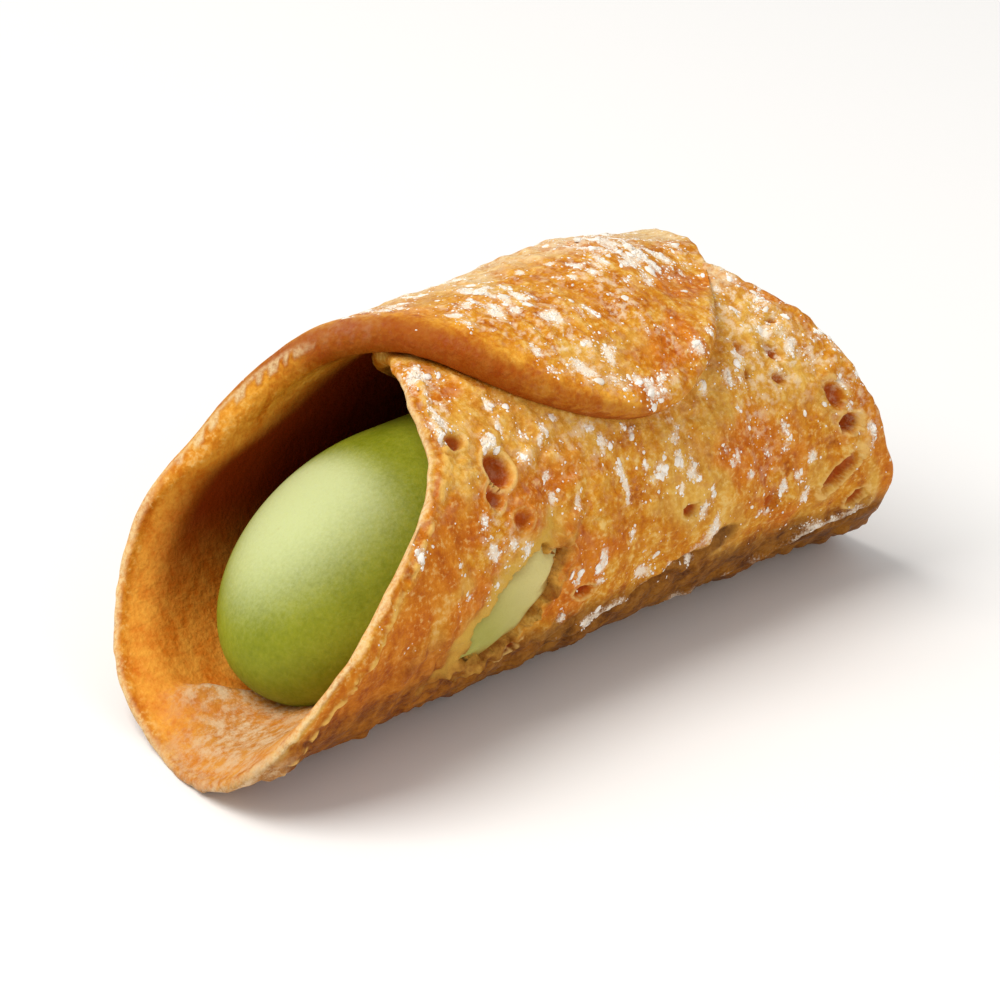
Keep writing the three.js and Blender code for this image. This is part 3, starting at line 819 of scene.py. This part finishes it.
def fed(step, inputs, output):
    """A shader step's output, once each input has its number, its 0 to 255 colour or its socket."""
    for name, value in inputs.items():
        if isinstance(value, (int, float)):
            step.inputs[name].default_value = value
        elif isinstance(value, tuple):
            step.inputs[name].default_value = linear(*value)
        else:
            step.id_data.links.new(value, step.inputs[name])
    return step.outputs[output]


def grain(where, size, detail, roughness=0.55):
    """A smooth random pattern from 0 to 1 with features of that size in millimetres."""
    noise = where.id_data.nodes.new("ShaderNodeTexNoise")
    inputs = {"Vector": where, "Scale": 1 / (size * MM), "Detail": detail, "Roughness": roughness}
    return fed(noise, inputs, "Fac")


def ramp(factor, stops):
    """Colours along a factor: stops are (place, 0 to 255 colour)."""
    band = factor.id_data.nodes.new("ShaderNodeValToRGB")
    for element, (at, colour) in zip(band.color_ramp.elements, (stops[0], stops[-1])):
        element.position, element.color = at, linear(*colour)
    for at, colour in stops[1:-1]:
        band.color_ramp.elements.new(at).color = linear(*colour)
    return fed(band, {"Fac": factor}, "Color")


def fade(value, start, end, low=0.0, high=1.0):
    """A value carried from start to end onto low to high, smooth and held outside."""
    span = value.id_data.nodes.new("ShaderNodeMapRange")
    span.interpolation_type = "SMOOTHSTEP"
    inputs = {"Value": value, "From Min": start, "From Max": end, "To Min": low, "To Max": high}
    return fed(span, inputs, "Result")


def sum_of(first, second, share):
    """first + second x share."""
    step = first.id_data.nodes.new("ShaderNodeMath")
    step.operation = "MULTIPLY_ADD"
    return fed(step, {0: second, 1: share, 2: first}, 0)


def product(first, second):
    """first x second."""
    step = first.id_data.nodes.new("ShaderNodeMath")
    step.operation = "MULTIPLY"
    return fed(step, {0: first, 1: second}, 0)


def blend(factor, first, second):
    """The colour first where the factor is 0, second where it is 1."""
    step = factor.id_data.nodes.new("ShaderNodeMix")
    step.data_type = "RGBA"
    return fed(step, {"Factor": factor, COLOUR_A: first, COLOUR_B: second}, COLOUR_OUT)


def mark(tree, name, output="Fac"):
    """A mark kept on the piece's points."""
    read = tree.nodes.new("ShaderNodeAttribute")
    read.attribute_name = name
    return read.outputs[output]


def bump(height, distance, strength):
    """Fine relief from a height, that many millimetres deep."""
    node = height.id_data.nodes.new("ShaderNodeBump")
    inputs = {"Distance": distance * MM, "Strength": strength, "Height": height}
    return fed(node, inputs, "Normal")


crust_material, tree, shader = new_material("fried_dough")
where = tree.nodes.new("ShaderNodeTexCoord").outputs["Object"]
streak = fade(grain(mark(tree, "sheet", "Vector"), 1.1, 4), 0.34, 0.66)
mottle = fade(grain(where, 2.3, 5, 0.62), 0.33, 0.67)
fleck = fade(grain(where, 0.5, 3), 0.32, 0.68)
tone = sum_of(product(mottle, 0.4), streak, 0.26)
tone = sum_of(tone, fleck, 0.26)
tone = sum_of(tone, mark(tree, "height"), 0.2)
fried = ramp(
    tone,
    [
        (0.12, (158, 80, 10)),
        (0.32, (190, 110, 16)),
        (0.54, (202, 129, 26)),
        (0.76, (216, 154, 54)),
        (0.95, (229, 186, 104)),
    ],
)
blushed = ramp(tone, [(0.05, (168, 74, 6)), (0.8, (212, 120, 24))])
golden = ramp(tone, [(0.05, (188, 123, 26)), (0.8, (222, 176, 82))])
lipped = ramp(tone, [(0.15, (184, 96, 6)), (0.9, (234, 168, 54))])
ambered = ramp(tone, [(0.15, (134, 56, 5)), (0.95, (192, 110, 24))])
shaded = ramp(tone, [(0.2, (70, 36, 6)), (0.8, (138, 84, 24))])
within = ramp(tone, [(0.1, (206, 108, 14)), (0.95, (236, 164, 60))])
colour = blend(product(mark(tree, "blush"), 0.8), fried, blushed)
colour = blend(product(mark(tree, "gold"), 0.65), colour, golden)
pale_fleck = fade(grain(where, 0.5, 3, 0.6), 0.54, 0.7, 0.0, 0.5)
colour = blend(pale_fleck, colour, (230, 192, 122))
colour = blend(product(mark(tree, "amber"), 0.85), colour, ambered)
colour = blend(fade(mark(tree, "under"), 0.1, 1.0, 0.0, 0.9), colour, shaded)
# Painted shade: the bowls of the burst bubbles are painted darker.
colour = blend(fade(mark(tree, "pit_shade"), 0.05, 0.9, 0.0, 0.88), colour, (158, 58, 4))
# Painted highlight: the raised rings round the bubbles and the far ridge are painted pale.
colour = blend(fade(mark(tree, "ring"), 0.15, 0.8, 0.0, 0.7), colour, (232, 190, 112))
# Painted shade: the inside turns dark brown further into the mouth and under its roof.
shaded_within = blend(mark(tree, "deep"), within, (116, 38, 3))
colour = blend(mark(tree, "inside"), colour, shaded_within)
colour = blend(product(mark(tree, "lip"), 0.8), colour, lipped)
# Painted shade under the lip's roll.
colour = blend(product(mark(tree, "lip_underside_shade"), 0.8), colour, (138, 50, 2))
colour = blend(fade(mark(tree, "bead"), 0.2, 0.8, 0.0, 0.8), colour, (230, 182, 92))
rim_grain = fade(grain(where, 0.4, 4, 0.7), 0.3, 0.66, 0.3, 0.95)
rimmed = product(fade(mark(tree, "rim"), 0.3, 1.0), rim_grain)
colour = blend(rimmed, colour, (226, 198, 146))
colour = blend(fade(mark(tree, "torn"), 0.1, 1.0, 0.0, 0.85), colour, (206, 166, 70))
broken = ramp(mottle, [(0.1, (140, 84, 20)), (0.9, (204, 154, 66))])
colour = blend(product(mark(tree, "broken"), 0.8), colour, broken)
colour = blend(product(mark(tree, "foot"), 0.55), colour, (172, 118, 54))
foot_grain = fade(grain(where, 1.3, 6, 0.75), 0.4, 0.62, 0.0, 0.95)
colour = blend(product(mark(tree, "foot"), foot_grain), colour, (212, 182, 142))
veil = product(mark(tree, "veil"), fade(grain(where, 0.8, 5, 0.65), 0.46, 0.64))
colour = blend(product(veil, 0.6), colour, (238, 220, 190))
haze_grain = fade(grain(where, 0.7, 5, 0.65), 0.36, 0.6, 0.2, 0.8)
colour = blend(product(mark(tree, "haze"), haze_grain), colour, (230, 206, 160))
powdery = sum_of(mark(tree, "powder"), grain(where, 0.24, 3, 0.7), 1.3)
colour = blend(fade(powdery, 0.82, 1.45, 0.0, 0.82), colour, (244, 232, 212))
dull = fade(mottle, 0.0, 1.0, 0.42, 0.62)
fine = bump(sum_of(grain(where, 0.4, 3), grain(where, 1.0, 2), 1.6), 0.35, 0.38)
finish = {"Base Color": colour, "Roughness": dull, "Specular IOR Level": 0.08, "Normal": fine}
fed(shader, finish, "BSDF")

crust = mesh_piece(
    "crust",
    ((crust_points + seat) * MM).tolist(),
    crust_faces.tolist(),
    crust_material,
    {**crust_marks, "sheet": both_rows(streaks, inner_streaks) * MM},
)
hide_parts("shell")
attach(crust, "root")


# --- the cream ---------------------------------------------------------------------------------
# A smooth sweet pistachio cream, piped in from both ends until it stands in a round dome in each
# mouth. It fills the tube between them and shows once more where the crust is torn.

CREAM_GAP = 0.3
CREAM_BORE = BORE - CREAM_GAP

# Each dome's half height and half width, the middle of its ring, its tip, depth, lean and neck.
NEAR_DOME = dict(high=10.6, wide=11.8, y=-0.5, z=13.0, tip=-34.4, depth=13.0, slant=13.0, neck=8.5)
FAR_DOME = dict(high=11.2, wide=11.8, y=0.0, z=13.8, tip=31.5, depth=9.0, slant=9.0, neck=5.0)
BLEND = 11.0  # length over which a neck widens to the bore
DOME_RINGS, NECK_RINGS, BLEND_RINGS, CORE_RINGS, CREAM_SIDES = 56, 16, 22, 70, 220
TEAR_LEVEL = SKIN_RADIUS - 0.25  # how far out the cream stands in the tear
HIGHLIGHT_AND_FROST_FROM = np.array([-0.45, 0.25, 0.857])  # the side of the dome towards the key lamp, painted pale: a painted highlight, with some sugar frost

cream_angle = np.linspace(0, 360, CREAM_SIDES, endpoint=False)[None, :]
upward, forward = np.cos(np.radians(cream_angle)), np.sin(np.radians(cream_angle))


def unit(arrows):
    """Each arrow carried to length 1."""
    return arrows / np.maximum(np.linalg.norm(arrows, axis=-1, keepdims=True), 1e-9)


def dome_rings(dome, side):
    """Rings from a dome's tip to the full bore, side -1 near and 1 far.

    A quarter ellipse turned about the tube's line, a straight neck, then a blend out to the bore.
    Every ring leans by the slant times its height above the dome's foot.
    """
    t = np.append(np.linspace(0, math.pi / 2, DOME_RINGS + 1), np.full(NECK_RINGS, math.pi / 2))
    along_neck = np.append(np.zeros(DOME_RINGS + 1), np.arange(1, NECK_RINGS + 1) / NECK_RINGS)
    s = np.linspace(0, 1, BLEND_RINGS + 1)[1:]
    rise = ease(0, 1, s)
    high, wide = (
        np.concatenate([half * np.sin(t), half + (CREAM_BORE - half) * rise])
        for half in (dome["high"], dome["wide"])
    )
    mid_y = np.concatenate([0 * t + dome["y"], dome["y"] * (1 - rise)])
    mid_z = np.concatenate([0 * t + dome["z"], dome["z"] + (AXIS_HEIGHT - dome["z"]) * rise])
    neck = dome["neck"]
    inward = dome["depth"] * (1 - np.cos(t)) + neck * along_neck
    inward = np.concatenate([inward, dome["depth"] + neck + BLEND * s])
    fall = np.concatenate([1 + 0 * t, 1 - 0.25 * s])
    z = mid_z[:, None] + high[:, None] * upward
    y = mid_y[:, None] - wide[:, None] * forward
    lean = -side * dome["slant"] * (z - (dome["z"] - dome["high"])) / (2 * dome["high"])
    x = dome["tip"] - side * inward[:, None] + lean * fall[:, None]
    return np.stack([x, y, z], -1)


near_rings = dome_rings(NEAR_DOME, -1)
far_rings = dome_rings(FAR_DOME, 1)[::-1]
share = np.linspace(0, 1, CORE_RINGS + 1)[1:-1, None]
core_x = near_rings[-1, :, 0] * (1 - share) + far_rings[0, :, 0] * share
core = np.stack(
    [core_x, -CREAM_BORE * forward + 0 * core_x, AXIS_HEIGHT + CREAM_BORE * upward + 0 * core_x], -1
)
cream_rings = np.concatenate([near_rings, core, far_rings])

# In the tear the cream bulges out, nearly level with the crust, and has dried to a dull skin.
from_line = np.hypot(cream_rings[..., 1], cream_rings[..., 2] - AXIS_HEIGHT)
true_angle = np.degrees(np.arctan2(-cream_rings[..., 1], cream_rings[..., 2] - AXIS_HEIGHT)) % 360
cream_reach = tear_reach(true_angle, cream_rings[..., 0])
bulge = np.clip(1 - (cream_reach / 1.3) ** 8, 0, 1)
lumps = 0.16 * speckle(np.radians(true_angle) * SKIN_RADIUS, cream_rings[..., 0], 1.3, 61)
lumps += 0.3 - 0.5 * np.minimum(cream_reach, 1.2) ** 2
grow = 1 + ((TEAR_LEVEL + lumps) / from_line - 1) * bulge
cream_rings[..., 1] *= grow
cream_rings[..., 2] = AXIS_HEIGHT + (cream_rings[..., 2] - AXIS_HEIGHT) * grow
cream_x = cream_rings[..., 0]
dry_along, dry_across = patch(true_angle, cream_x, TEAR["angle"], TEAR["x"], TEAR["turn"])
stain = ease(0.45, 0.95, cream_reach) * ease(1.3, 1.1, cream_reach) * ease(0.2, 1.2, dry_across)
steep = np.gradient(cream_rings, axis=0)
round_it = np.gradient(cream_rings, axis=1)
facing = unit(np.cross(round_it, steep))
facing[0], facing[-1] = facing[1].mean(0), facing[-2].mean(0)
facing[..., 0] = -np.abs(facing[..., 0])
# The cream's side towards the key lamp is painted pale: a painted highlight, partly sugar frost.
frost_and_highlight = np.clip((facing @ HIGHLIGHT_AND_FROST_FROM - 0.6) / 0.4, 0, 1) ** 2.0
frost_and_highlight = frost_and_highlight * ease(12, 18, np.abs(cream_x))
rings, sides = cream_rings.shape[:2]
ids = np.arange(rings * sides).reshape(rings, sides)
ids = np.hstack([ids, ids[:, :1]])
cream_faces = grid_faces(ids, np.ones((rings - 1, sides), bool))[:, ::-1]

cream_material, tree, shader = new_material("pistachio_cream")
where = tree.nodes.new("ShaderNodeTexCoord").outputs["Object"]
tint = sum_of(product(grain(where, 6.0, 2), 0.6), grain(where, 0.5, 3), 0.4)
colour = ramp(tint, [(0.35, (114, 122, 12)), (0.65, (142, 148, 34))])
# Painted highlight with sugar frost on the dome's lit side.
frost_and_highlight_grain = sum_of(mark(tree, "frost_and_highlight"), grain(where, 0.35, 4, 0.65), 0.4)
colour = blend(fade(frost_and_highlight_grain, 0.14, 1.2, 0.0, 0.9), colour, (198, 206, 148))
dried = ramp(mark(tree, "dry_along"), [(0.25, (170, 164, 84)), (0.8, (214, 198, 132))])
colour = blend(fade(mark(tree, "dry"), 0.0, 0.5, 0.0, 0.9), colour, dried)
stained = sum_of(mark(tree, "stain"), grain(where, 0.5, 3, 0.65), 0.8)
colour = blend(fade(stained, 0.4, 1.3, 0.0, 0.85), colour, (150, 108, 36))
tree.links.new(colour, shader.inputs["Base Color"])
shader.inputs["Roughness"].default_value = 0.5
shader.inputs["Specular IOR Level"].default_value = 0.12
shader.inputs["Subsurface Weight"].default_value = 0.12
shader.inputs["Subsurface Radius"].default_value = (1.0, 1.0, 0.35)
shader.inputs["Subsurface Scale"].default_value = 0.0012
tree.links.new(bump(grain(where, 0.25, 2), 0.14, 0.3), shader.inputs["Normal"])

cream = mesh_piece(
    "cream_filling",
    ((cream_rings.reshape(-1, 3) + seat) * MM).tolist(),
    cream_faces.tolist(),
    cream_material,
    {
        "frost_and_highlight": frost_and_highlight.ravel(),
        "dry": bulge.ravel(),
        "stain": stain.ravel(),
        "dry_along": np.clip(0.5 + dry_along / TEAR["length"], 0, 1).ravel(),
    },
)
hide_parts("cream")
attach(cream, "root")


# --- the sugar ---------------------------------------------------------------------------------
# Icing sugar sieved over the finished cannolo. Most of it lies as fine grains, and damp grains
# stick together in soft white clumps, drawn out along the way the dough was wrapped.

GRAIN_LEAN = 0.55  # radians by which grains lean away from the wrap, as a spread
GRAIN_STRAY = 0.22  # how far a grain may lie from its point of the crust
GRAIN_SUNK = 0.35  # share of its half height by which it is sunk into the crust

# Each kind's number, seed, ball cuts, length, slimness, flatness, share in clumps and roughness.
SUGAR = {
    "sugar_dust": (4200, 91, 0, (0.12, 0.26), (0.6, 1.0), 0.6, 0.72, 0.2),
    "sugar_grains": (2300, 92, 0, (0.22, 0.48), (0.5, 0.95), 0.5, 0.85, 0.28),
    "sugar_clumps": (300, 93, 1, (0.5, 1.15), (0.4, 0.8), 0.38, 0.95, 0.22),
}


def ball(times):
    """Points and faces of a twenty-sided ball of radius 1, its faces cut in four so many times."""
    shape = bmesh.new()
    bmesh.ops.create_icosphere(shape, subdivisions=times + 1, radius=1)
    points = np.array([vertex.co[:] for vertex in shape.verts])
    faces = np.array([[vertex.index for vertex in face.verts] for face in shape.faces])
    shape.free()
    return points, faces


forwards = unit(along_wrap)
outward = unit(np.cross(forwards, across_wrap))
sideways = np.cross(outward, forwards)
in_clumps = cell_area * np.where(shows, np.clip(clumps, 0, 1.2), 0)


def scatter(count, seed, ball_cuts, length, slimness, flatness, clump_share, rough):
    """Grains on the outer skin: balls pulled long along the wrap, flattened and roughened.

    A share of them lies in the clumps, thickest at their middle, and the rest where sugar lies
    loose. Every point of a ball is pushed in or out at random, and the ball is sunk into the crust.
    """
    draw = np.random.default_rng(seed)
    loose = lies / lies.sum() * (1 - clump_share)
    weight = (loose + in_clumps / in_clumps.sum() * clump_share).ravel()
    spot = draw.choice(weight.size, count, p=weight / weight.sum())
    size = np.exp(draw.uniform(math.log(length[0]), math.log(length[1]), count)) / 2
    slim = draw.uniform(*slimness, count)
    lean = draw.normal(0, GRAIN_LEAN, count)
    points, faces = ball(ball_cuts)
    balls = points[None] * (1 + draw.uniform(-rough, rough, (count, len(points))))[..., None]
    axes = np.stack([size, size * slim, size * slim * flatness], -1)
    balls = balls * axes[:, None, :]
    ahead, aside, out = (way.reshape(-1, 3)[spot] for way in (forwards, sideways, outward))
    first = ahead * np.cos(lean)[:, None] + aside * np.sin(lean)[:, None]
    second = aside * np.cos(lean)[:, None] - ahead * np.sin(lean)[:, None]
    stray = draw.uniform(-GRAIN_STRAY, GRAIN_STRAY, (2, count, 1))
    centre = outer_points.reshape(-1, 3)[spot] + first * stray[0] + second * stray[1]
    centre = centre - out * (axes[:, 2] * GRAIN_SUNK)[:, None]
    turned = np.einsum("nvi,nij->nvj", balls, np.stack([first, second, out], 1))
    grains = (centre[:, None] + turned + seat) * MM
    all_faces = (faces[None] + (np.arange(count) * len(points))[:, None, None]).reshape(-1, 3)
    return grains.reshape(-1, 3).tolist(), all_faces.tolist()


sugar_material, tree, shader = new_material("icing_sugar")
where = tree.nodes.new("ShaderNodeTexCoord").outputs["Object"]
colour = ramp(grain(where, 0.8, 2), [(0.35, (226, 214, 196)), (0.65, (250, 246, 238))])
fed(shader, {"Base Color": colour, "Roughness": 0.85, "Specular IOR Level": 0.3}, "BSDF")

for name, settings in SUGAR.items():
    grain_points, grain_faces = scatter(*settings)
    sugar = mesh_piece(name, grain_points, grain_faces, sugar_material)
    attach(sugar, "root")
